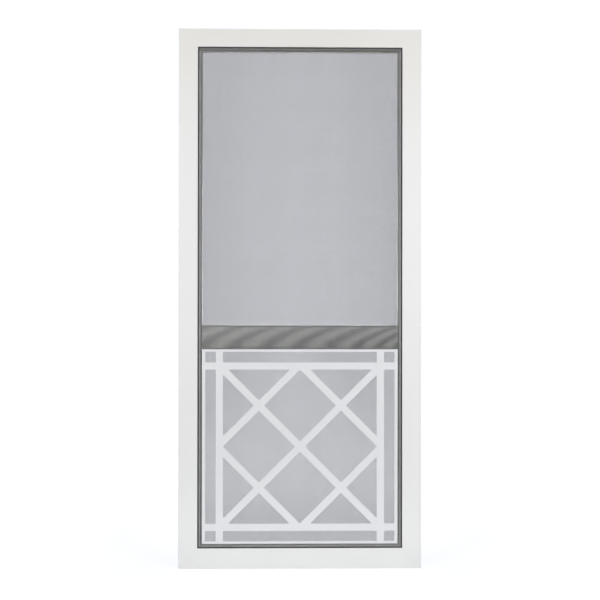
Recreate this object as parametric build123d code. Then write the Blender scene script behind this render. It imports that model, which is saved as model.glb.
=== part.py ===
from build123d import *
import math
import os

# A vinyl screen door leaf: stiles and rails of hollow extrusion mitred and welded together, a
# mid rail butted between the stiles, one sheet of insect screen held in the frame's groove by
# four lengths of spline, and a routed lattice panel lying on the screen in the lower bay.
#
# Sizes are in millimetres. X runs across the leaf from the hinge edge, Y through it from the
# screened front to the plain back, and Z upwards from the bottom edge. The origin is on the
# hinge edge, at the bottom, in the middle of the thickness.

# Door leaf
door_width = 914.4
door_height = 2032.0
door_thickness = 28.6

# Frame extrusions: one section, with a face of its own width on the stiles and on each rail
stile_face = 71.5
top_rail_face = 68.0
bottom_rail_face = 76.0
ledge_width = 16.0        # the sunk strip round the opening that the screen lies on
ledge_depth = 4.5         # how far that strip is sunk below the front face
sight_bevel_width = 6.5   # the ledge's slope away from the screen, along the opening
sight_bevel_depth = 4.5
outer_wall = 2.2
inner_web = 1.8
edge_chamber = 20.0       # width of the chamber along the leaf's outer edge
outer_edge_radius = 1.5
lip_radius = 1.5
opening_edge_radius = 1.5
chamber_radius = 1.0

# Weld seam, cleaned back to a shallow groove along each mitre
seam_width = 2.4
seam_depth = 0.3

# Screen and the spline that holds it
screen_thickness = 0.5
spline_diameter = 3.8
spline_clearance = 0.1    # between the spline and the screen folded round it
spline_sink = 0.6         # how far the spline's top lies below the ledge
spline_end_gap = 0.3      # between two lengths of spline where they meet in a corner
screen_bend_radius = 0.4  # on the screen's front where it folds into the groove
trim_rise = 1.5           # how far above the ledge the screen is trimmed, against the lip
grid_columns = 5          # the weave is drawn as a coarse grid, with this many openings across
grid_rows = 12            # and this many up
grid_bar = 12.0

# Mid rail
mid_rail_height = 88.9
mid_rail_top = 914.4      # above the leaf's bottom edge
rail_groove_lip = 1.5     # land between the rail's edge and its unused spline groove
rail_groove_width = 3.6
rail_groove_depth = 5.0
rail_edge_radius = 0.8

# Lattice panel
panel_thickness = 4.0
panel_clearance = 1.5     # all round, between the panel and the lower bay's sides
side_border = 12.0
end_border = 9.0          # at the panel's top and bottom
bar_width = 27.3
outer_window = 39.3       # width of the narrow windows between the border and the inner bars
window_radius = 1.6
panel_edge_break = 0.5

# How near a vertex lies to the place it is looked for at
vertex_tolerance = 1e-4

# Places worked out from the sizes above
front = -door_thickness / 2
back = door_thickness / 2
ledge = front + ledge_depth
groove_width = spline_diameter + 2 * (spline_clearance + screen_thickness)
spline_centre = ledge + spline_sink + spline_diameter / 2
opening_left = stile_face + ledge_width
opening_right = door_width - opening_left
opening_bottom = bottom_rail_face + ledge_width
opening_top = door_height - top_rail_face - ledge_width
mid_rail_bottom = mid_rail_top - mid_rail_height

# Each side of the frame: its face, and the sides that it meets where its run starts and ends
faces = {"left": stile_face, "right": stile_face, "top": top_rail_face, "bottom": bottom_rail_face}
neighbours = {
    "left": ("bottom", "top"),
    "top": ("left", "right"),
    "right": ("top", "bottom"),
    "bottom": ("right", "left"),
}


def rect(x0, y0, x1, y1):
    """A rectangle from its lowest to its highest corner."""
    return Pos(x0, y0) * Rectangle(x1 - x0, y1 - y0, align=(Align.MIN, Align.MIN))


def corner(sketch, x, y):
    """The vertices of a sketch that stand at one place."""
    place = Vector(x, y, 0)
    return [v for v in sketch.vertices() if (Vector(v) - place).length < vertex_tolerance]


def side_length(side):
    return door_height if side in ("left", "right") else door_width


def side_width(side):
    """Face and ledge together: how far one side of the frame reaches in from the leaf's edge."""
    return faces[side] + ledge_width


def groove_centre(side):
    """The spline groove starts where the face ends."""
    return faces[side] + groove_width / 2


def groove_shape(centre, half_width):
    """A round-bottomed slot about a centreline, open at the ledge."""
    slot = rect(centre - half_width, ledge, centre + half_width, spline_centre)
    return slot + Pos(centre, spline_centre) * Circle(half_width)


def chamber(x0, y0, x1, y1):
    """One hollow of an extrusion, with rounded corners."""
    hollow = rect(x0, y0, x1, y1)
    return fillet(hollow.vertices(), chamber_radius)


def ledge_chamber(face, width):
    """The hollow behind the ledge. It runs under the groove, and rises beside it to a roof that
    follows the ledge and its bevel at the outer wall's thickness."""
    slope = math.atan2(sight_bevel_depth, sight_bevel_width)
    roof = ledge + outer_wall
    roof_bend = width - sight_bevel_width - outer_wall * math.tan(slope / 2)
    inner_end = width - outer_wall
    roof_end = roof + (inner_end - roof_bend) * math.tan(slope)
    start = face - outer_wall + inner_web
    beside_groove = face + groove_width + outer_wall
    under_groove = spline_centre + groove_width / 2 + outer_wall
    inner_back = back - outer_wall
    hollow = make_face(Polyline((start, under_groove), (beside_groove, under_groove),
                                (beside_groove, roof), (roof_bend, roof), (inner_end, roof_end),
                                (inner_end, inner_back), (start, inner_back), close=True))
    rounded = corner(hollow, inner_end, inner_back) + corner(hollow, start, inner_back)
    return fillet(rounded, chamber_radius)


def frame_profile(side):
    """Section of one side of the frame: two chambers under the face, one behind the ledge."""
    face = faces[side]
    width = side_width(side)
    section = rect(0, front, width, back)
    section -= rect(face, front, width, ledge)
    bevel_start = width - sight_bevel_width
    bevel_end = ledge + sight_bevel_depth
    section -= make_face(Polyline((bevel_start, ledge), (width, ledge), (width, bevel_end),
                                  close=True))
    section = fillet(corner(section, 0, front) + corner(section, 0, back)
                     + corner(section, width, back), outer_edge_radius)
    section = fillet(corner(section, face, front), lip_radius)
    section = fillet(corner(section, bevel_start, ledge) + corner(section, width, bevel_end),
                     opening_edge_radius)
    section -= groove_shape(groove_centre(side), groove_width / 2)

    inner_front = front + outer_wall
    inner_back = back - outer_wall
    main_start = outer_wall + edge_chamber + inner_web
    section -= chamber(outer_wall, inner_front, outer_wall + edge_chamber, inner_back)
    section -= chamber(main_start, inner_front, face - outer_wall, inner_back)
    return section - ledge_chamber(face, width)


def mitred(profile, side, end_gap=0.0):
    """A profile run along one side of the frame. Both ends are cut on the straight line from the
    leaf's outer corner to the opening's corner, half the gap short of it."""
    length = side_length(side)
    width = side_width(side)
    near_width, far_width = (side_width(neighbour) for neighbour in neighbours[side])
    short = end_gap / 2
    outline = Polyline((0, short), (width, near_width + short),
                       (width, length - far_width - short), (0, length - short), close=True)
    blank = extrude(Plane.XZ * make_face(outline), door_thickness, both=True)
    return extrude(profile, length) & blank


def seam_groove(side, neighbour, face_y, reach):
    """The weld seam's groove on one face, along the mitre where a side's run starts."""
    rise = reach * side_width(neighbour) / side_width(side)
    tilt = math.degrees(math.atan2(rise, reach))
    groove = Box(math.hypot(reach, rise), 2 * seam_depth, seam_width)
    return Pos(reach / 2, face_y, rise / 2) * Rot(0, -tilt, 0) * groove


def seam_cutter(side, face_y, reach):
    """The weld seams' grooves on one face, at both ends of a side of the frame."""
    near, far = neighbours[side]
    far_groove = mirror(seam_groove(side, far, face_y, reach), about=Plane.XY)
    return seam_groove(side, near, face_y, reach) + Pos(0, 0, side_length(side)) * far_groove


def on_side(piece, side):
    """Turns what is drawn on the left stile round to another side of the frame."""
    places = {
        "left": Pos(0, 0, 0),
        "top": Pos(0, 0, door_height) * Rot(0, 90, 0),
        "right": Pos(door_width, 0, door_height) * Rot(0, 180, 0),
        "bottom": Pos(door_width, 0, 0) * Rot(0, -90, 0),
    }
    return places[side] * piece


def frame_member(side):
    """A stile or rail of the welded frame."""
    member = mitred(frame_profile(side), side)
    member -= seam_cutter(side, front, faces[side])
    member -= seam_cutter(side, back, side_width(side))
    return on_side(member, side)


def spline_length(side):
    """One length of round spline, pressed into its side's groove."""
    section = Pos(groove_centre(side), spline_centre) * Circle(spline_diameter / 2)
    return on_side(mitred(section, side, spline_end_gap), side)


def screen_hem(side):
    """The screen's edge on one side: folded over the ledge and round the spline, and trimmed
    where it comes up against the lip."""
    centre = groove_centre(side)
    lining = groove_shape(centre, groove_width / 2)
    lining -= groove_shape(centre, groove_width / 2 - screen_thickness)
    lining += rect(faces[side], ledge - trim_rise, faces[side] + screen_thickness, ledge)
    fold = centre + groove_width / 2 - screen_thickness
    screen_front = ledge - screen_thickness
    hem = lining + rect(fold, screen_front, side_width(side), ledge)
    hem = fillet(corner(hem, fold, screen_front), screen_bend_radius)
    return on_side(mitred(hem, side), side)


def weave_grid(width, height):
    """A coarse even grid in place of the weave, with half a bar's width along its edges."""
    column = width / grid_columns
    row = height / grid_rows
    opening = Rectangle(column - grid_bar, row - grid_bar)
    places = GridLocations(column, row, grid_columns, grid_rows)
    return Rectangle(width, height) - [place * opening for place in places]


def screen_mesh():
    """The whole sheet of insect screen, across both bays and the mid rail's front."""
    grid = weave_grid(opening_right - opening_left, opening_top - opening_bottom)
    middle = Plane(origin=((opening_left + opening_right) / 2, ledge,
                           (opening_bottom + opening_top) / 2),
                   x_dir=(1, 0, 0), z_dir=(0, -1, 0))
    sheet = extrude(middle * grid, screen_thickness)
    for side in neighbours:
        sheet += screen_hem(side)
    return sheet


def mid_rail():
    """Hollow rail across the opening. The screen lies on its front, level with the ledge, and a
    spline groove runs along each front edge."""
    depth = back - ledge
    section = rect(0, 0, mid_rail_height, depth)
    section = fillet(section.vertices(), rail_edge_radius)
    under_grooves = rail_groove_depth + outer_wall
    groove_end = rail_groove_lip + rail_groove_width
    for start in (rail_groove_lip, mid_rail_height - groove_end):
        section -= rect(start, 0, start + rail_groove_width, rail_groove_depth)

    middle_start = groove_end + outer_wall
    middle_end = mid_rail_height - middle_start
    section -= chamber(middle_start, outer_wall, middle_end, depth - outer_wall)
    edge_end = middle_start - inner_web
    section -= rect(outer_wall, under_grooves, edge_end, depth - outer_wall)
    section -= rect(mid_rail_height - edge_end, under_grooves,
                    mid_rail_height - outer_wall, depth - outer_wall)

    along = Plane(origin=(opening_left, ledge, mid_rail_bottom),
                  x_dir=(0, 0, 1), z_dir=(-1, 0, 0))
    return extrude(along * section, opening_left - opening_right)


def lattice_windows(width, height):
    """The panel's windows: a narrow row all round, and a lozenge over a saltire inside."""
    field_width = width - 2 * (side_border + outer_window + bar_width)
    field_height = height - 2 * (end_border + outer_window + bar_width)
    windows = Rectangle(width - 2 * side_border, height - 2 * end_border)
    for way in (-1, 1):
        windows -= Pos(way * (field_width + bar_width) / 2, 0) * Rectangle(bar_width, height)
        windows -= Pos(0, way * (field_height + bar_width) / 2) * Rectangle(width, bar_width)

    slope = math.degrees(math.atan2(field_height, field_width))
    diagonal = math.hypot(field_width, field_height)
    field = Rectangle(field_width, field_height)
    bars = Rot(0, 0, slope) * Rectangle(diagonal + bar_width, bar_width)
    bars += Rot(0, 0, -slope) * Rectangle(diagonal + bar_width, bar_width)
    for across in (-1, 1):
        for up in (-1, 1):
            lozenge_side = Pos(across * field_width / 4, up * field_height / 4) * Rot(
                0, 0, -across * up * slope)
            outward = up * bar_width / 2
            bars += lozenge_side * Pos(0, outward) * Rectangle(diagonal, bar_width)
    windows -= bars & field
    return fillet(windows.vertices(), window_radius)


def lattice_panel():
    """The lattice routed from one sheet, lying on the screen in the lower bay."""
    width = opening_right - opening_left - 2 * panel_clearance
    height = mid_rail_bottom - opening_bottom - 2 * panel_clearance
    outline = Rectangle(width, height)
    outline = fillet(outline.vertices(), window_radius)
    middle = Plane(origin=((opening_left + opening_right) / 2, ledge - screen_thickness,
                           (opening_bottom + mid_rail_bottom) / 2),
                   x_dir=(1, 0, 0), z_dir=(0, -1, 0))
    panel = extrude(middle * (outline - lattice_windows(width, height)), panel_thickness)
    front_face = panel.faces().sort_by(Axis.Y)[0]
    return chamfer(front_face.edges(), panel_edge_break)


def parts():
    """Every piece of the leaf by name."""
    return {
        "left_stile": frame_member("left"),
        "right_stile": frame_member("right"),
        "top_rail": frame_member("top"),
        "bottom_rail": frame_member("bottom"),
        "mid_rail": mid_rail(),
        "screen_mesh": screen_mesh(),
        "spline_left": spline_length("left"),
        "spline_right": spline_length("right"),
        "spline_top": spline_length("top"),
        "spline_bottom": spline_length("bottom"),
        "lattice_panel": lattice_panel(),
    }


os.makedirs("parts", exist_ok=True)
for name, solid in parts().items():
    export_step(solid, f"parts/{name}.step")
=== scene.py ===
import math
from collections import namedtuple
import bpy
import numpy as np
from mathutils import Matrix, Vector


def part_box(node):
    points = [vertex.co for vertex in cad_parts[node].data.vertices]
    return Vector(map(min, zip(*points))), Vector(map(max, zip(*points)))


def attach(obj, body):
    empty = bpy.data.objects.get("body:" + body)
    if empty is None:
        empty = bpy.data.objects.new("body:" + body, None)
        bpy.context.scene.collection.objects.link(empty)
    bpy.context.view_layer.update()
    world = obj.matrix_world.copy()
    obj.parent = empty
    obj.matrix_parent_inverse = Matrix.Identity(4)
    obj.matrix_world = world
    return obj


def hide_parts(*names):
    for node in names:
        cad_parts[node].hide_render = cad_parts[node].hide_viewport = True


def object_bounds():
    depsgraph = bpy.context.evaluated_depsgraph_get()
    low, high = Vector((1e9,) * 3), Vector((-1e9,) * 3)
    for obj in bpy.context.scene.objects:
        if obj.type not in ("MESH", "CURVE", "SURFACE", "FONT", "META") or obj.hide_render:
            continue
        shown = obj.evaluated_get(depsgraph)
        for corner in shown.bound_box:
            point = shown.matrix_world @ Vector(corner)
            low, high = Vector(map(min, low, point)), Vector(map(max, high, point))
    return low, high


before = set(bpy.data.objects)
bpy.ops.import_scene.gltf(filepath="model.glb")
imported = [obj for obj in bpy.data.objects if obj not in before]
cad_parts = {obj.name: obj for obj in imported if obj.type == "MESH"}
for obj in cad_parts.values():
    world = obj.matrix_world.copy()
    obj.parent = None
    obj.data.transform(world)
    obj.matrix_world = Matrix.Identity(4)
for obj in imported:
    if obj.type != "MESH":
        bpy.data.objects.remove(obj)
cad_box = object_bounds()

# The leaf, in metres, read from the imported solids
leaf_width, leaf_height = cad_box[1][0], cad_box[1][2]
leaf_middle = leaf_width / 2
rail_low, rail_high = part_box("mid_rail")
rail_height = rail_high.z - rail_low.z
ledge_y = rail_low.y      # the mid rail's front is level with the ledge that the screen lies on

# Each side of the frame, measured inwards from the leaf's edge: its width as far as the opening,
# and the middle of its spline groove
Side = namedtuple("Side", "width groove")


def middle_of(node, axis):
    """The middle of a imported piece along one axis."""
    low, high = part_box(node)
    return (low[axis] + high[axis]) / 2


sides = {
    "left": Side(rail_low.x, middle_of("spline_left", 0)),
    "right": Side(leaf_width - rail_high.x, leaf_width - middle_of("spline_right", 0)),
    "bottom": Side(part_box("bottom_rail")[1].z, middle_of("spline_bottom", 2)),
    "top": Side(leaf_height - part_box("top_rail")[0].z, leaf_height - middle_of("spline_top", 2)),
}
upright_sides = (sides["left"], sides["right"])
level_sides = (sides["bottom"], sides["top"])

# Spline and the groove that it lies in
spline_low, spline_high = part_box("spline_left")
spline_radius = (spline_high.x - spline_low.x) / 2
spline_middle_y = middle_of("spline_left", 1)
fold_radius = 0.0022      # of the screen's yarns round the spline
trim_rise = 0.0015        # how far above the ledge the screen's edge is trimmed, along the lip

# Insect screen: the yarns' pitch, 18 and 16 to the inch, and one yarn's width and thickness
inch = 0.0254
upright_pitch = inch / 18
cross_pitch = inch / 16
screen_thickness = 0.0005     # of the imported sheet
screen_middle_y = ledge_y - screen_thickness / 2
yarn_width = 0.00055
yarn_thickness = 0.00015
yarn_offset = 0.00010     # of the upright yarns behind the middle, and of the cross yarns before it

# Pairs of slow sines, each a (height in metres, radians to the metre, shift)
weave_drift = ((0.00012, 150, 0), (0.00035, 41, 1))
knife_drift = ((0.00035, 97, 0), (0.00022, 631, 0))
cord_waves = ((0.00006, 61, 18), (0.00006, 23, 0))


def waves(pair, along):
    """The sum of a pair of sines, a sin(k x + c) each."""
    return sum(height * np.sin(along * turns + shift) for height, turns, shift in pair)


def put_mesh(name, points, quads, finish, ends=()):
    """A mesh at the origin from an array of points, an array of quads and a few many-sided ends."""
    mesh = bpy.data.meshes.new(name)
    mesh.from_pydata(points.reshape(-1, 3).tolist(), [], quads.reshape(-1, 4).tolist() + list(ends))
    mesh.materials.append(finish)
    mesh.update()
    piece = bpy.data.objects.new(name, mesh)
    bpy.context.scene.collection.objects.link(piece)
    return piece


def tube_quads(tubes, stations, round_it):
    """Quads of many closed tubes: tube t has rings of points, each joined to the next one round
    and the next one along, with point number (t * stations + s) * round_it + k."""
    t, s, k = np.meshgrid(np.arange(tubes), np.arange(stations - 1), np.arange(round_it),
                          indexing="ij")
    here = (t * stations + s) * round_it
    there = here + round_it
    after = (k + 1) % round_it
    return np.stack([here + k, here + after, there + after, there + k], axis=-1)


def square_caps(tubes, stations):
    """The two end quads of each four-sided tube."""
    first = np.arange(tubes)[:, None] * stations * 4
    last = first + (stations - 1) * 4
    return np.concatenate([first + np.array([3, 2, 1, 0]), last + np.array([0, 1, 2, 3])])


def fold_path(groove, middle_y):
    """One edge of the screen in section, from its trimmed end: down the lip and the groove's outer
    wall, half a circle of fold_radius round the spline, up the inner wall and onto the ledge."""
    turn = np.radians([180, 120, 60, 0])
    inner = groove + fold_radius
    ledge_bend, on_ledge, proud = 0.00005, 0.0007, 0.0001
    u = np.concatenate([[groove - fold_radius], groove + fold_radius * np.cos(turn),
                        [inner + ledge_bend, inner + on_ledge]])
    y = np.concatenate([[ledge_y - trim_rise], spline_middle_y + fold_radius * np.sin(turn),
                        [ledge_y - proud, middle_y]])
    return u, y


def path_length(path):
    """The length of a polyline of (u, y) points."""
    return float(np.hypot(np.diff(path[0]), np.diff(path[1])).sum())


def along_path(path, distances):
    """Points at given distances along a polyline of (u, y) points, by linear steps."""
    steps = np.hypot(np.diff(path[0]), np.diff(path[1]))
    travelled = np.concatenate([[0], np.cumsum(steps)])
    return np.interp(distances, travelled, path[0]), np.interp(distances, travelled, path[1])


def line_normals(run, depth):
    """Unit normals of lines in the run-depth plane: the mean direction at each point, turned by
    90 degrees."""
    slope_run = np.gradient(run, axis=-1)
    slope_depth = np.gradient(depth, axis=-1)
    size = np.hypot(slope_run, slope_depth)
    return np.stack([-slope_depth / size, slope_run / size])


def yarn_rings(run, depth, across):
    """Rings of four-sided yarns. The line (run, depth) is offset by half a yarn's width to each
    side in the sheet and by half its thickness along the line's normal."""
    lean = line_normals(run, depth)
    half_width = np.array([1, 0, -1, 0]) * yarn_width / 2
    half_thick = np.array([0, 1, 0, -1]) * yarn_thickness / 2
    ring_run = run[..., None] + half_thick * lean[0][..., None]
    ring_depth = depth[..., None] + half_thick * lean[1][..., None]
    ring_across = across[..., None] + half_width
    return ring_run, ring_depth, ring_across


def long_yarns(length, ends, width, flanks, pitch, middle_y):
    """The yarns that run from groove to groove, at a nearly even pitch from flank to flank, with
    both ends folded round the spline. The weave drifts by a few parts in a hundred, as on a real
    roll of screen, and the knife left the ends uneven, each by a pair of sines."""
    near_u, near_y = fold_path(ends[0].groove, middle_y)
    far_u, far_y = fold_path(ends[1].groove, middle_y)
    run = np.concatenate([near_u, length - far_u[::-1]])
    depth = np.concatenate([near_y, far_y[::-1]])
    first = fold_path(flanks[0].groove, middle_y)[0][-1]
    last = width - fold_path(flanks[1].groove, middle_y)[0][-1]
    count = int((last - first) / pitch)
    across = (first + last) / 2 + pitch * (np.arange(count + 1) - count / 2)
    across = across + waves(weave_drift, across)
    shape = (count + 1, run.size)
    depth = np.tile(depth, (count + 1, 1))
    depth[:, [0, -1]] += waves(knife_drift, across)[:, None]
    return yarn_rings(np.broadcast_to(run, shape), depth, np.broadcast_to(across[:, None], shape))


def edge_yarns(length, ends, flank, pitch, middle_y):
    """The yarns that lie along one groove, at the same pitch round the fold. They end on the
    mitres, where the run is u times the neighbour's width over this side's width."""
    path = fold_path(flank.groove, middle_y)
    u, y = along_path(path, np.arange(yarn_width, path_length(path), pitch))
    near, far = (u * end.width / flank.width for end in ends)
    run = np.stack([near, length - far], axis=1)
    both = np.ones(2)
    return yarn_rings(run, y[:, None] * both, u[:, None] * both)


def yarn_family(length, ends, width, flanks, pitch, middle_y):
    """All the yarns that run one way, each set as (run, depth, across): the long ones, and those
    that lie along the near and the far flank's groove."""
    family = [long_yarns(length, ends, width, flanks, pitch, middle_y)]
    for flank, origin, sign in zip(flanks, (0, width), (1, -1)):
        run, depth, across = edge_yarns(length, ends, flank, pitch, middle_y)
        family.append((run, depth, origin + sign * across))
    return family


def insect_screen(finish):
    """The screen as real yarns: upright ones run along Z and cross ones along X, a hair apart. A
    set whose turn to X, Y and Z mirrors it has its faces turned over."""
    upright = yarn_family(leaf_height, level_sides, leaf_width, upright_sides,
                          upright_pitch, screen_middle_y + yarn_offset)
    cross = yarn_family(leaf_width, upright_sides, leaf_height, level_sides,
                        cross_pitch, screen_middle_y - yarn_offset)
    points, quads, used = [], [], 0
    for number, (run, depth, across) in enumerate(upright + cross):
        stands = number < len(upright)
        ring = np.stack([across, depth, run] if stands else [run, depth, across], axis=-1)
        faces = np.concatenate([tube_quads(*run.shape).reshape(-1, 4), square_caps(*run.shape[:2])])
        mirrored = across[0, 0, 0] < across[0, 0, 2]
        points.append(ring.reshape(-1, 3))
        quads.append(faces[:, ::1 if stands != mirrored else -1] + used)
        used += run.size
    screen = put_mesh("screen_weave", np.concatenate(points), np.concatenate(quads), finish)
    screen.data.polygons.foreach_set("use_smooth", np.ones(len(screen.data.polygons), bool))
    return screen


def ribbed_spline(name, side, finish):
    """Spline cord: a circle with shallow ribs, radius r - a (1 - cos(n t)) / 2, carried along one
    side of the frame with its depth waving by a tenth of a millimetre. Both ends are cut on the
    mitres, where the run is u times the neighbour's width over this side's width."""
    ribs, rib_depth, end_gap, ring_step, lift = 18, 0.00009, 0.00015, 0.012, 0.00004
    near, far = {"left": ("bottom", "top"), "top": ("left", "right"),
                 "right": ("top", "bottom"), "bottom": ("right", "left")}[side]
    around = np.linspace(0, 2 * np.pi, ribs * 4, endpoint=False)
    radius = spline_radius - rib_depth * (1 - np.cos(ribs * around)) / 2
    u = sides[side].groove + radius * np.cos(around)
    y = spline_middle_y + radius * np.sin(around)
    length = leaf_height if side in ("left", "right") else leaf_width
    first = u * sides[near].width / sides[side].width + end_gap
    last = length - u * sides[far].width / sides[side].width - end_gap
    stations = int(length / ring_step)
    share = np.linspace(0, 1, stations)[:, None]
    run = first + share * (last - first)
    depth = y + lift + waves(cord_waves, run)
    u = np.broadcast_to(u, run.shape)
    places = {
        "left": (u, depth, run),
        "top": (run, depth, leaf_height - u),
        "right": (leaf_width - u, depth, leaf_height - run),
        "bottom": (leaf_width - run, depth, u),
    }
    quads = tube_quads(1, stations, around.size)
    ring = np.arange(around.size)
    ends = [ring[::-1].tolist(), (ring + (stations - 1) * around.size).tolist()]
    piece = put_mesh(name, np.stack(places[side], axis=-1), quads, finish, ends)
    faces = np.arange(len(piece.data.polygons))
    piece.data.polygons.foreach_set("use_smooth", faces < quads.size // 4)
    return piece


def rgb(red, green, blue):
    """An opaque colour."""
    return (red, green, blue, 1.0)


class Wiring:
    """Short ways to add nodes to the node tree of a material or a world, and to join them."""

    def __init__(self, owner):
        owner.use_nodes = True
        self.nodes = owner.node_tree.nodes
        self.links = owner.node_tree.links

    def fill(self, socket, value):
        """Joins an output to a socket, or sets the socket to a number or a colour."""
        if isinstance(value, bpy.types.NodeSocket):
            self.links.new(value, socket)
        else:
            socket.default_value = value

    def add(self, kind, settings=None, **inputs):
        """A new node with its settings made and its inputs filled, by their names."""
        node = self.nodes.new(kind)
        for key, value in (settings or {}).items():
            setattr(node, key, value)
        for key, value in inputs.items():
            self.fill(node.inputs[key], value)
        return node

    def reckon(self, operation, first, second=0.0):
        """One Math node on outputs or numbers."""
        node = self.add("ShaderNodeMath", {"operation": operation})
        self.fill(node.inputs[0], first)
        self.fill(node.inputs[1], second)
        return node.outputs[0]

    def plus(self, first, second):
        """first + second"""
        return self.reckon("ADD", first, second)

    def minus(self, first, second):
        """first - second"""
        return self.reckon("SUBTRACT", first, second)

    def times(self, first, second):
        """first * second"""
        return self.reckon("MULTIPLY", first, second)

    def between(self, value, low, high, to_low=0.0, to_high=1.0, smooth=False):
        """to_low up to low, to_high from high on, and a straight or a smooth rise from one to the
        other."""
        node = self.add("ShaderNodeMapRange",
                        {"interpolation_type": "SMOOTHSTEP" if smooth else "LINEAR"}, Value=value)
        for key, number in (("From Min", low), ("From Max", high),
                            ("To Min", to_low), ("To Max", to_high)):
            node.inputs[key].default_value = number
        return node.outputs["Result"]

    def inside(self, value, low, high, low_edge, high_edge):
        """1 from low + low_edge to high, and 0 under low and over high + high_edge."""
        return self.times(self.between(value, low, low + low_edge),
                          self.between(value, high, high + high_edge, 1.0, 0.0))

    def parts(self, vector):
        """The X, Y and Z of a vector."""
        node = self.add("ShaderNodeSeparateXYZ", Vector=vector)
        return node.outputs["X"], node.outputs["Y"], node.outputs["Z"]

    def place(self, kind="Object"):
        """The X, Y and Z of a texture coordinate: the piece's own, or another kind."""
        return self.parts(self.add("ShaderNodeTexCoord").outputs[kind])


class Finish(Wiring):
    """A material made of nodes on the piece's own coordinates."""

    def __init__(self, name):
        self.material = bpy.data.materials.new(name)
        super().__init__(self.material)
        self.shader = self.nodes["Principled BSDF"]

    def noise(self, scale, detail=2.0, roughness=0.5):
        """Noise on the piece's own coordinates, stretched by a scale for each axis."""
        place = self.add("ShaderNodeTexCoord").outputs["Object"]
        mapping = self.add("ShaderNodeMapping", Vector=place, Scale=scale)
        return self.add("ShaderNodeTexNoise", Vector=mapping.outputs[0], Scale=1.0,
                        Detail=detail, Roughness=roughness).outputs["Fac"]

    def blend(self, share, first, second, kind="MIX"):
        """The first colour, with a share of the second laid over it."""
        node = self.add("ShaderNodeMix", {"data_type": "RGBA", "blend_type": kind},
                        Factor=share, A=first, B=second)
        return node.outputs["Result"]

    def cover(self, colour, roughness):
        """Sets the surface's colour and roughness."""
        self.fill(self.shader.inputs["Base Color"], colour)
        self.fill(self.shader.inputs["Roughness"], roughness)

    def emboss(self, strength, distance, height):
        """Fine relief by bump, where a height of 1 stands for distance in metres."""
        bump = self.add("ShaderNodeBump", Strength=strength, Distance=distance, Height=height)
        self.fill(self.shader.inputs["Normal"], bump.outputs[0])


vinyl_ior = 1.5
shade_and_dust_grey = rgb(0.42, 0.42, 0.38)      # painted shade on the top rail's ledge, and dust on the mid rail's top


def vinyl(name, along, shade=None):
    """White extruded vinyl. Fine die lines run along the length, a broad mottle varies the white a
    little, and the welded mitres are dulled where the knife cleaned them. The highest half metre
    has a painted warm shade, and the top rail's groove and ledge a painted grey shade. A shade,
    where there is one, changes the colour further: painted light and shade, and dust."""
    finish = Finish(name)
    fine, long = 900.0, 5.0
    scale = {"upright": (fine, fine, long), "level": (long, fine, fine)}[along]
    lines = finish.noise(scale, detail=3.0, roughness=0.6)
    mottle = finish.noise((7.0, 7.0, 2.5), detail=3.0)
    grain = finish.noise((2600.0, 2600.0, 2600.0), detail=1.0)
    dull_white, clear_white = rgb(0.801, 0.803, 0.796), rgb(0.839, 0.839, 0.828)
    painted_top_warmth, top_warmth_reach, top_warmth_share = rgb(0.95, 0.92, 0.865), 0.5, 0.5
    top_ledge_shade_share = 0.75
    cut_white, cut_share, cut_roughness = rgb(0.74, 0.74, 0.735), 0.18, 0.2

    colour = finish.blend(mottle, dull_white, clear_white)
    # A painted warm shade over the highest half metre
    top_warmth = finish.between(finish.place()[2], leaf_height - top_warmth_reach, leaf_height,
                          0.0, top_warmth_share, smooth=True)
    colour = finish.blend(top_warmth, colour, painted_top_warmth, "MULTIPLY")
    # Painted grey shade on the top rail's groove and ledge
    colour = finish.blend(finish.times(top_ledge(finish), top_ledge_shade_share), colour, shade_and_dust_grey)
    seam = weld_seam(finish)
    colour = finish.blend(finish.times(seam, cut_share), colour, cut_white)
    if shade is not None:
        colour = shade(finish, colour)
    roughness = finish.between(lines, 0.3, 0.7, 0.34, 0.46)
    finish.cover(colour, finish.plus(roughness, finish.times(seam, cut_roughness)))
    finish.shader.inputs["IOR"].default_value = vinyl_ior
    finish.emboss(0.35, 0.00006, finish.plus(lines, finish.times(grain, 0.5)))
    return finish.material


def inward_distance(finish, value, size):
    """The distance in from the nearer of two edges, 0 and size."""
    return finish.reckon("MINIMUM", value, finish.minus(size, value))


def top_ledge(finish):
    """1 on the groove and the ledge of the top rail, which get a painted grey shade, and 0
    elsewhere.
    They lie from the leaf's lip inwards, at the ledge's depth or deeper, before the back wall
    and between the stiles."""
    x, y, z = finish.place()
    low_side = leaf_height - sides["top"].width
    reach, before, behind, past_lip = 0.024, 0.0012, 0.009, 0.004
    thin_edge, edge, broad_edge = 0.0004, 0.0005, 0.001
    within = finish.inside(z, low_side + thin_edge / 2, low_side + reach, thin_edge, thin_edge)
    deep = finish.inside(y, ledge_y - before, ledge_y + behind, broad_edge, edge)
    stile = sides["left"].groove - past_lip
    inward = inward_distance(finish, x, leaf_width)
    between_stiles = finish.between(inward, stile, stile + broad_edge)
    return finish.times(finish.times(within, deep), between_stiles)


def weld_seam(finish):
    """1 on the mitres and 0 beside them. A mitre runs where the distance in from the leaf's side,
    over the stile's width, equals the distance in from its top or bottom, over the rail's."""
    seam_half, seam_end = 0.0015, 0.0024
    x, _, z = finish.place()
    from_bottom = finish.reckon("DIVIDE", z, sides["bottom"].width)
    from_top = finish.reckon("DIVIDE", finish.minus(leaf_height, z), sides["top"].width)
    upward = finish.reckon("MINIMUM", from_bottom, from_top)
    on_mitre = finish.times(upward, sides["left"].width)
    off_mitre = finish.minus(inward_distance(finish, x, leaf_width), on_mitre)
    return finish.between(finish.reckon("ABSOLUTE", off_mitre), seam_half, seam_end,
                          1.0, 0.0, smooth=True)


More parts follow.
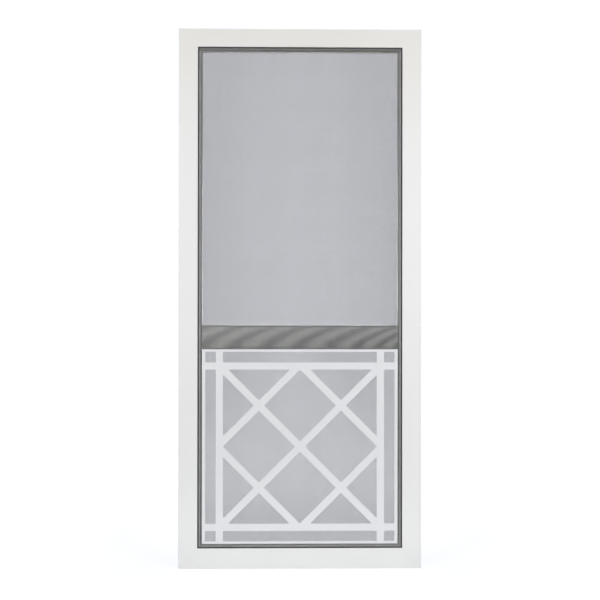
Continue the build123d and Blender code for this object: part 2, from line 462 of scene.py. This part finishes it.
def screen_bands(finish, colour):
    """Painted light and shade on the mid rail's front: slanting bands that stand for the screen's
    grid and its shadow. The bands' phase is 2 pi (s - a) / b plus c times the square of what s is
    past d, with s = x - e h - f h^2 and h the height above the middle of what shows of the rail. So
    they rise to the right, bend over, and close up towards the right. They are deeper low down, and
    painted shade darkens the rail low down, towards its right end and along its rims. All of it
    fades out just behind the rail's front. Dust has greyed the rail's top."""
    period, first_dark, slant, bend = 0.1209, 0.065, 2.07, 14.0
    closing_from, closing, mid_height = 0.552, 96.0, 0.053
    wander_reach, sharpness = 0.02, 1.15
    depth_high, depth_low = 0.30, 0.46          # of the bands at the rail's top and bottom
    low_shade, right_shade, right_from = 0.19, 0.21, 0.2
    low_rim, low_rim_shade, high_rim, high_rim_shade = 0.0035, 0.22, 0.0045, 0.34
    dust_share, skin = 0.6, 0.0001
    # The painted light and the painted shade of the bands
    band_painted_light, band_painted_shade = rgb(0.95, 0.95, 0.92), rgb(0.10, 0.105, 0.095)

    x, y, z = finish.place()
    upward = finish.minus(z, rail_low.z)
    height = finish.minus(upward, mid_height)
    lean = finish.plus(finish.times(height, bend), slant)
    slanted = finish.minus(finish.minus(x, rail_low.x), finish.times(height, lean))
    wander = finish.times(finish.noise((9.0, 9.0, 22.0), detail=1.0), wander_reach)
    slanted = finish.plus(slanted, finish.minus(wander, wander_reach / 2))
    phase = finish.times(finish.minus(slanted, first_dark), 2 * math.pi / period)
    past = finish.reckon("MAXIMUM", finish.minus(slanted, closing_from), 0.0)
    phase = finish.plus(phase, finish.times(finish.times(past, past), closing))
    dark = finish.between(finish.reckon("COSINE", phase), -1.0, 1.0)

    lower = finish.between(upward, 0.0, rail_height, 1.0, 0.0)
    painted_darkness = finish.times(finish.reckon("POWER", dark, sharpness),
                            finish.between(lower, 0.0, 1.0, depth_high, depth_low))
    # Painted shade: low down, towards the right end, and along the low and high rims
    for shading in (finish.times(lower, low_shade),
                    finish.between(x, right_from, rail_high.x, 0.0, right_shade),
                    finish.between(upward, 0.0, low_rim, low_rim_shade, 0.0),
                    finish.between(upward, rail_height - high_rim, rail_height,
                                   0.0, high_rim_shade)):
        painted_darkness = finish.plus(painted_darkness, shading)
    on_top = finish.between(z, rail_high.z - 4 * skin, rail_high.z - skin, 0.0, dust_share)
    colour = finish.blend(on_top, colour, shade_and_dust_grey)
    front = finish.between(y, rail_low.y + 2 * skin, rail_low.y + 12 * skin, 1.0, 0.0)
    return finish.blend(front, colour, finish.blend(painted_darkness, band_painted_light, band_painted_shade))


def routed_sheet(name):
    """Solid white vinyl sheet, cut by a router: matt and evenly mottled with a fine tooth, and
    with the cutter's marks, a few to the millimetre, across the sheet's thickness on cut walls."""
    finish = Finish(name)
    mottle = finish.noise((14.0, 14.0, 14.0), detail=4.0)
    tooth = finish.noise((1500.0, 1500.0, 1500.0), detail=2.0)
    marks = finish.noise((1900.0, 60.0, 1900.0), detail=1.0)
    dull_white, clear_white = rgb(0.748, 0.757, 0.774), rgb(0.774, 0.781, 0.796)
    cut_roughness, cut_relief = 0.12, 2.0

    facing = finish.parts(finish.add("ShaderNodeNewGeometry").outputs["True Normal"])[1]
    cut = finish.between(finish.reckon("ABSOLUTE", facing), 0.2, 0.5, 1.0, 0.0)
    roughness = finish.between(tooth, 0.3, 0.7, 0.5, 0.62)
    finish.cover(finish.blend(mottle, dull_white, clear_white),
                 finish.plus(roughness, finish.times(cut, cut_roughness)))
    finish.shader.inputs["IOR"].default_value = vinyl_ior
    cutter_marks = finish.times(finish.times(marks, cut), cut_relief)
    finish.emboss(0.3, 0.00008, finish.plus(tooth, cutter_marks))
    return finish.material


def coated_yarn(name):
    """Charcoal vinyl-coated glass yarn. Each yarn is lighter and darker along its length in
    streaks a few centimetres long, which give the screen its faint slubbed look."""
    finish = Finish(name)
    in_upright = finish.noise((700.0, 1.0, 22.0), detail=1.0)
    in_cross = finish.noise((26.0, 1.0, 620.0), detail=1.0)
    black, charcoal = rgb(0.004, 0.004, 0.004), rgb(0.082, 0.082, 0.085)
    dusty = rgb(0.115, 0.115, 0.119)
    colour = finish.blend(finish.between(in_upright, 0.35, 0.65), black, charcoal)
    colour = finish.blend(finish.between(in_cross, 0.44, 0.66), colour, dusty)
    finish.cover(colour, finish.between(in_upright, 0.3, 0.7, 0.42, 0.55))
    return finish.material


def spline_rubber(name):
    """Dull dark grey spline cord, dustier in patches."""
    finish = Finish(name)
    dust = finish.noise((60.0, 60.0, 60.0), detail=4.0, roughness=0.65)
    fine = finish.noise((3000.0, 3000.0, 3000.0), detail=1.0)
    clean, dusty = rgb(0.055, 0.056, 0.060), rgb(0.085, 0.086, 0.090)
    finish.cover(finish.blend(finish.between(dust, 0.4, 0.75), clean, dusty),
                 finish.between(dust, 0.3, 0.7, 0.6, 0.75))
    finish.emboss(0.4, 0.00004, fine)
    return finish.material


def refinish(node, material):
    """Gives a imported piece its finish, in every one of its material slots."""
    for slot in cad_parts[node].material_slots:
        slot.material = material


white_ground = rgb(1.0, 1.012, 1.075)      # the floor and the surround, as the camera sees them


def seen_or_lit(wiring, output, lit, seen):
    """Ends a node tree: the seen shader for a ray from the camera, or by gloss or through glass,
    and the lit one for light that reaches the object."""
    rays = wiring.add("ShaderNodeLightPath").outputs
    looked_at = wiring.reckon("MAXIMUM", rays["Is Camera Ray"], rays["Is Glossy Ray"])
    looked_at = wiring.reckon("MAXIMUM", looked_at, rays["Is Transmission Ray"])
    mix = wiring.add("ShaderNodeMixShader", Fac=looked_at)
    wiring.fill(mix.inputs[1], lit.outputs[0])
    wiring.fill(mix.inputs[2], seen.outputs[0])
    wiring.add(output, Surface=mix.outputs[0])


def floor_finish():
    """A plain white floor. The camera sees it a little brighter than lit, so that it meets the
    background as plain white, and the leaf's soft shadow still shows on it near the leaf. Behind
    the leaf it glows a little more in a soft pool, p (1 - ((x - x0) / r)^2)."""
    material = bpy.data.materials.new("pale_floor")
    wiring = Wiring(material)
    wiring.nodes.clear()
    near, far, near_end, far_start = 0.85, 1.0, 0.5, 1.7
    pool, pool_reach, pool_start = 0.12, 0.75, 0.4
    x, y, _ = wiring.place()
    beside = wiring.minus(x, leaf_middle)
    away = wiring.reckon("SQRT", wiring.plus(wiring.times(beside, beside), wiring.times(y, y)))
    open_floor = wiring.between(away, near_end, far_start, near, far, smooth=True)
    fall = wiring.reckon("DIVIDE", beside, pool_reach)
    fall = wiring.reckon("MAXIMUM", wiring.minus(1.0, wiring.times(fall, fall)), 0.0)
    behind = wiring.between(y, 0.0, pool_start, 0.0, pool, smooth=True)

    paint = wiring.add("ShaderNodeBsdfDiffuse", Color=rgb(0.44, 0.445, 0.465))
    dim = wiring.add("ShaderNodeBsdfDiffuse", Color=rgb(0.20, 0.20, 0.20))
    lift = wiring.add("ShaderNodeEmission", Color=white_ground,
                      Strength=wiring.plus(open_floor, wiring.times(fall, behind)))
    seen = wiring.add("ShaderNodeAddShader")
    wiring.fill(seen.inputs[0], dim.outputs[0])
    wiring.fill(seen.inputs[1], lift.outputs[0])
    seen_or_lit(wiring, "ShaderNodeOutputMaterial", paint, seen)
    return material


def studio_world(level):
    """A white surround: level as light, and plain white where it is looked at, with a soft glow
    behind the leaf's middle: c (1 - a (dx - x0)^2 - b dz^2), never under 1, for a view direction
    (dx, dy, dz)."""
    world = bpy.data.worlds.new("studio")
    bpy.context.scene.world = world
    wiring = Wiring(world)
    wiring.nodes.clear()
    glow, fall_across, fall_up, glow_x = 1.16, 8.7, 0.7, 0.01
    dx, _, dz = wiring.place("Generated")
    beside = wiring.minus(dx, glow_x)
    across = wiring.times(wiring.times(beside, beside), fall_across * glow)
    upward = wiring.times(wiring.times(dz, dz), fall_up * glow)
    strength = wiring.minus(wiring.minus(glow, across), upward)

    lit = wiring.add("ShaderNodeBackground", Color=rgb(1.0, 1.0, 1.0), Strength=level)
    seen = wiring.add("ShaderNodeBackground", Color=white_ground,
                      Strength=wiring.reckon("MAXIMUM", strength, 1.0))
    seen_or_lit(wiring, "ShaderNodeOutputWorld", lit, seen)


def soft_lamp(name, place, aim, size, power, colour=(1.0, 1.0, 1.0), spread=180.0):
    """A soft lamp at place, turned to face aim. Its size is its width and height, and spread is
    the angle in degrees of the beam that it throws."""
    lamp = bpy.data.lights.new(name, "AREA")
    lamp.shape = "RECTANGLE"
    lamp.size, lamp.size_y = size
    lamp.energy = power
    lamp.color = colour
    lamp.spread = math.radians(spread)
    holder = bpy.data.objects.new(name, lamp)
    holder.location = place
    holder.rotation_euler = (Vector(aim) - Vector(place)).to_track_quat("-Z", "Y").to_euler()
    holder.visible_camera = False
    bpy.context.scene.collection.objects.link(holder)


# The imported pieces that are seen, with their finishes
upright_vinyl = vinyl("white_vinyl_upright", "upright")
level_vinyl = vinyl("white_vinyl_level", "level")
refinish("left_stile", upright_vinyl)
refinish("right_stile", upright_vinyl)
refinish("bottom_rail", level_vinyl)
refinish("top_rail", level_vinyl)
# The mid rail's front carries painted light and shade
refinish("mid_rail", vinyl("white_vinyl_mid_painted_shade", "level", shade=screen_bands))
refinish("lattice_panel", routed_sheet("routed_white_sheet"))

# The screen and its splines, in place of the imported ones
screen = insect_screen(coated_yarn("charcoal_yarn"))
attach(screen, "root")
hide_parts("screen_mesh")

cord_finish = spline_rubber("spline_rubber")
for side in sides:
    spline = ribbed_spline("spline_cord_" + side, side, cord_finish)
    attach(spline, "root")
    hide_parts("spline_" + side)

# The studio: a floor, a surround and soft lamps in watts
floor_reach = 30.0
corners = np.array([[-1, -1, 0], [1, -1, 0], [1, 1, 0], [-1, 1, 0]]) * floor_reach
floor = put_mesh("floor", corners, np.array([[0, 1, 2, 3]]), floor_finish())

studio_world(level=0.14)
middle = (leaf_middle, 0.0, 1.2)
broad = (1.5, 1.5)
faintly_warm, faintly_cool = (1.0, 0.997, 0.98), (0.95, 0.97, 1.0)
soft_lamp("key_lamp", (2.6, -2.3, 1.35), middle, broad, 45.0)
soft_lamp("fill_lamp", (-1.9, -2.4, 1.35), middle, broad, 44.2)
soft_lamp("high_key_lamp", (2.6, -2.3, 2.5), middle, broad, 14.8, faintly_warm)
soft_lamp("high_fill_lamp", (-1.9, -2.4, 2.5), middle, broad, 17.8, faintly_warm)
soft_lamp("floor_glow", (leaf_middle, -0.32, 0.03), (leaf_middle, 0.0, 0.12), (1.3, 0.2), 0.68,
          faintly_cool)
soft_lamp("top_lamp", (leaf_middle, 0.0, 4.6), middle, (2.0, 2.0), 28.0)
soft_lamp("back_lamp", (leaf_middle, 3.6, 1.15), (leaf_middle, 0.0, 1.15), (2.0, 2.0), 10.5,
          spread=50.0)

# Camera: where it stands, and how it is turned from looking straight along +Y
camera_place = Vector((0.4203, -2.857, 1.002))
camera_turn = (math.radians(90.17), math.radians(-0.07), math.radians(-0.736))
camera_data = bpy.data.cameras.new("photo_camera")
camera_data.sensor_width = 36.0
camera_data.lens = 45.3
camera = bpy.data.objects.new("photo_camera", camera_data)
camera.location = camera_place
camera.rotation_euler = camera_turn
bpy.context.scene.collection.objects.link(camera)
bpy.context.scene.camera = camera

bpy.context.scene.view_settings.view_transform = "Standard"
